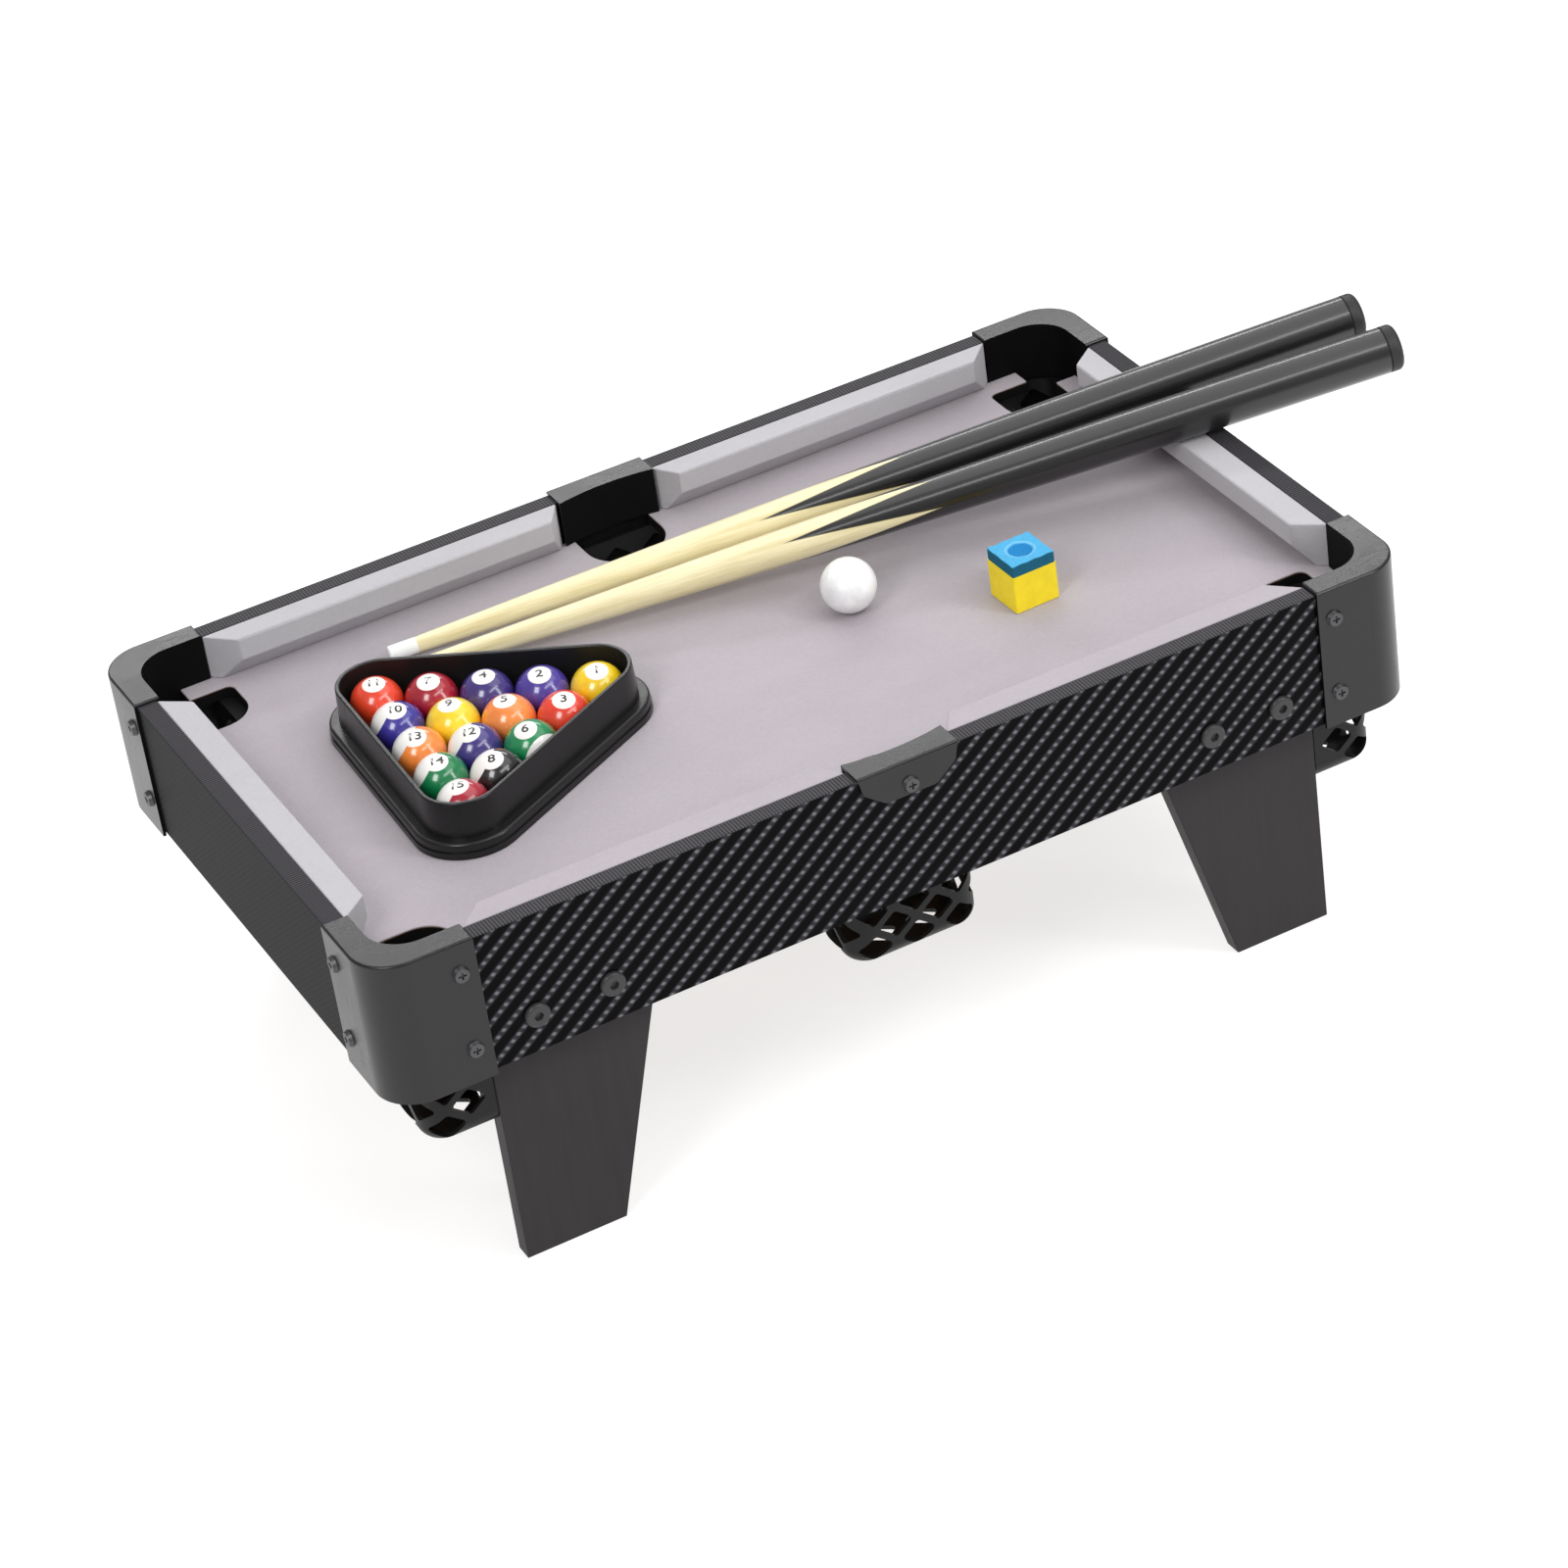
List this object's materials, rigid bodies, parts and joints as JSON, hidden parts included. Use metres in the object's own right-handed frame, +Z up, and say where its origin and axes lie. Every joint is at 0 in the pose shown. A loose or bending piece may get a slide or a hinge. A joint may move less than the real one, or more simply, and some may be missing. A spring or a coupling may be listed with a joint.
{
  "type": "mini pool table",
  "caption": "Tabletop pool table on flat tapered legs, with lattice ball baskets, a triangle rack of numbered balls, cue ball, wooden cues and chalk.",
  "frame": {"origin": "on the floor, under the middle of the whole set's bounding box; the cue butts overhang the right end rail, so the middle of the table itself is 44 mm towards -X", "axes": "+X along the table from the end with the racked balls to the end under the cue butts, +Y from the front long rail to the back one, +Z up"},
  "size_m": [0.5971, 0.3086, 0.2081],
  "materials": {
    "felt": "lilac-grey short felt glued on the bed",
    "bed_board": "bare thin fibreboard",
    "rail_wrap": "glossy black twill-pattern wrap on fibreboard",
    "end_wrap": "satin black fine-weave wrap on fibreboard",
    "cushion_felt": "grey felt over a hard cushion strip",
    "cap_plastic": "satin charcoal moulded plastic",
    "basket_plastic": "satin black moulded plastic",
    "leg_foil": "satin charcoal foil on fibreboard",
    "bolt_black": "black furniture bolt",
    "nut_steel": "zinc-plated tee nut",
    "screw_black": "black oxide pan-head screw",
    "screw_steel": "zinc-plated wood screw",
    "cleat_wood": "planed softwood batten",
    "rack_plastic": "satin black moulded plastic",
    "cue_ball_resin": "polished white resin",
    "cue_paint": "lacquered maple with a satin black painted butt",
    "cue_white": "white moulded end cap",
    "cue_rubber": "black rubber butt plug",
    "chalk": "pressed blue chalk",
    "chalk_paper": "yellow paper band",
    "ball_01_resin": "polished resin, solid colour, numbered",
    "ball_02_resin": "polished resin, solid colour, numbered",
    "ball_03_resin": "polished resin, solid colour, numbered",
    "ball_04_resin": "polished resin, solid colour, numbered",
    "ball_05_resin": "polished resin, solid colour, numbered",
    "ball_06_resin": "polished resin, white with a coloured stripe, numbered",
    "ball_07_resin": "polished resin, solid colour, numbered",
    "ball_08_resin": "polished resin, white with a coloured stripe, numbered",
    "ball_09_resin": "polished resin, solid colour, numbered",
    "ball_10_resin": "polished resin, white with a coloured stripe, numbered",
    "ball_11_resin": "polished resin, solid colour, numbered",
    "ball_12_resin": "polished resin, white with a coloured stripe, numbered",
    "ball_13_resin": "polished resin, white with a coloured stripe, numbered",
    "ball_14_resin": "polished resin, white with a coloured stripe, numbered",
    "ball_15_resin": "polished resin, white with a coloured stripe, numbered"
  },
  "bodies": {
    "table": {"bed_board": "bed_board", "bed_felt": "felt", "side_rail_front": "rail_wrap", "side_rail_back": "rail_wrap", "end_rail_left": "end_wrap", "end_rail_right": "end_wrap", "cushion_front_left": "cushion_felt", "cushion_front_right": "cushion_felt", "cushion_back_left": "cushion_felt", "cushion_back_right": "cushion_felt", "cushion_end_left": "cushion_felt", "cushion_end_right": "cushion_felt", "corner_cap_front_left": "cap_plastic", "corner_cap_front_right": "cap_plastic", "corner_cap_back_left": "cap_plastic", "corner_cap_back_right": "cap_plastic", "side_cap_front": "cap_plastic", "side_cap_back": "cap_plastic", "corner_basket_front_left": "basket_plastic", "corner_basket_front_right": "basket_plastic", "corner_basket_back_left": "basket_plastic", "corner_basket_back_right": "basket_plastic", "side_basket_front": "basket_plastic", "side_basket_back": "basket_plastic", "leg_front_left": "leg_foil", "leg_front_right": "leg_foil", "leg_back_left": "leg_foil", "leg_back_right": "leg_foil", "leg_bolts": "bolt_black", "leg_nuts": "nut_steel", "cap_screws": "screw_black", "bed_cleats": "cleat_wood", "board_screws": "screw_steel", "basket_screws": "screw_steel"},
    "rack": {"rack": "rack_plastic"},
    "ball_01": {"ball_01": "ball_01_resin"},
    "ball_02": {"ball_02": "ball_02_resin"},
    "ball_03": {"ball_03": "ball_03_resin"},
    "ball_04": {"ball_04": "ball_04_resin"},
    "ball_05": {"ball_05": "ball_05_resin"},
    "ball_06": {"ball_06": "ball_06_resin"},
    "ball_07": {"ball_07": "ball_07_resin"},
    "ball_08": {"ball_08": "ball_08_resin"},
    "ball_09": {"ball_09": "ball_09_resin"},
    "ball_10": {"ball_10": "ball_10_resin"},
    "ball_11": {"ball_11": "ball_11_resin"},
    "ball_12": {"ball_12": "ball_12_resin"},
    "ball_13": {"ball_13": "ball_13_resin"},
    "ball_14": {"ball_14": "ball_14_resin"},
    "ball_15": {"ball_15": "ball_15_resin"},
    "cue_ball": {"cue_ball": "cue_ball_resin"},
    "cue_1": {"cue_1_shaft": "cue_paint", "cue_1_tip": "cue_white", "cue_1_bumper": "cue_rubber"},
    "cue_2": {"cue_2_shaft": "cue_paint", "cue_2_tip": "cue_white", "cue_2_bumper": "cue_rubber"},
    "chalk": {"chalk_block": "chalk", "chalk_wrap": "chalk_paper"}
  },
  "joints": [
    {"name": "lift_rack", "type": "slide", "parent": "table", "child": "rack", "axis": [0, 0, 1], "range_m": [0, 0.12]},
    {"name": "lift_ball_01", "type": "slide", "parent": "table", "child": "ball_01", "axis": [0, 0, 1], "range_m": [0, 0.1]},
    {"name": "lift_ball_02", "type": "slide", "parent": "table", "child": "ball_02", "axis": [0, 0, 1], "range_m": [0, 0.1]},
    {"name": "lift_ball_03", "type": "slide", "parent": "table", "child": "ball_03", "axis": [0, 0, 1], "range_m": [0, 0.1]},
    {"name": "lift_ball_04", "type": "slide", "parent": "table", "child": "ball_04", "axis": [0, 0, 1], "range_m": [0, 0.1]},
    {"name": "lift_ball_05", "type": "slide", "parent": "table", "child": "ball_05", "axis": [0, 0, 1], "range_m": [0, 0.1]},
    {"name": "lift_ball_06", "type": "slide", "parent": "table", "child": "ball_06", "axis": [0, 0, 1], "range_m": [0, 0.1]},
    {"name": "lift_ball_07", "type": "slide", "parent": "table", "child": "ball_07", "axis": [0, 0, 1], "range_m": [0, 0.1]},
    {"name": "lift_ball_08", "type": "slide", "parent": "table", "child": "ball_08", "axis": [0, 0, 1], "range_m": [0, 0.1]},
    {"name": "lift_ball_09", "type": "slide", "parent": "table", "child": "ball_09", "axis": [0, 0, 1], "range_m": [0, 0.1]},
    {"name": "lift_ball_10", "type": "slide", "parent": "table", "child": "ball_10", "axis": [0, 0, 1], "range_m": [0, 0.1]},
    {"name": "lift_ball_11", "type": "slide", "parent": "table", "child": "ball_11", "axis": [0, 0, 1], "range_m": [0, 0.1]},
    {"name": "lift_ball_12", "type": "slide", "parent": "table", "child": "ball_12", "axis": [0, 0, 1], "range_m": [0, 0.1]},
    {"name": "lift_ball_13", "type": "slide", "parent": "table", "child": "ball_13", "axis": [0, 0, 1], "range_m": [0, 0.1]},
    {"name": "lift_ball_14", "type": "slide", "parent": "table", "child": "ball_14", "axis": [0, 0, 1], "range_m": [0, 0.1]},
    {"name": "lift_ball_15", "type": "slide", "parent": "table", "child": "ball_15", "axis": [0, 0, 1], "range_m": [0, 0.1]},
    {"name": "lift_cue_ball", "type": "slide", "parent": "table", "child": "cue_ball", "axis": [0, 0, 1], "range_m": [0, 0.1]},
    {"name": "lift_cue_1", "type": "slide", "parent": "table", "child": "cue_1", "axis": [0, 0, 1], "range_m": [0, 0.12]},
    {"name": "lift_cue_2", "type": "slide", "parent": "table", "child": "cue_2", "axis": [0, 0, 1], "range_m": [0, 0.12]},
    {"name": "lift_chalk", "type": "slide", "parent": "table", "child": "chalk", "axis": [0, 0, 1], "range_m": [0, 0.1]}
  ]
}
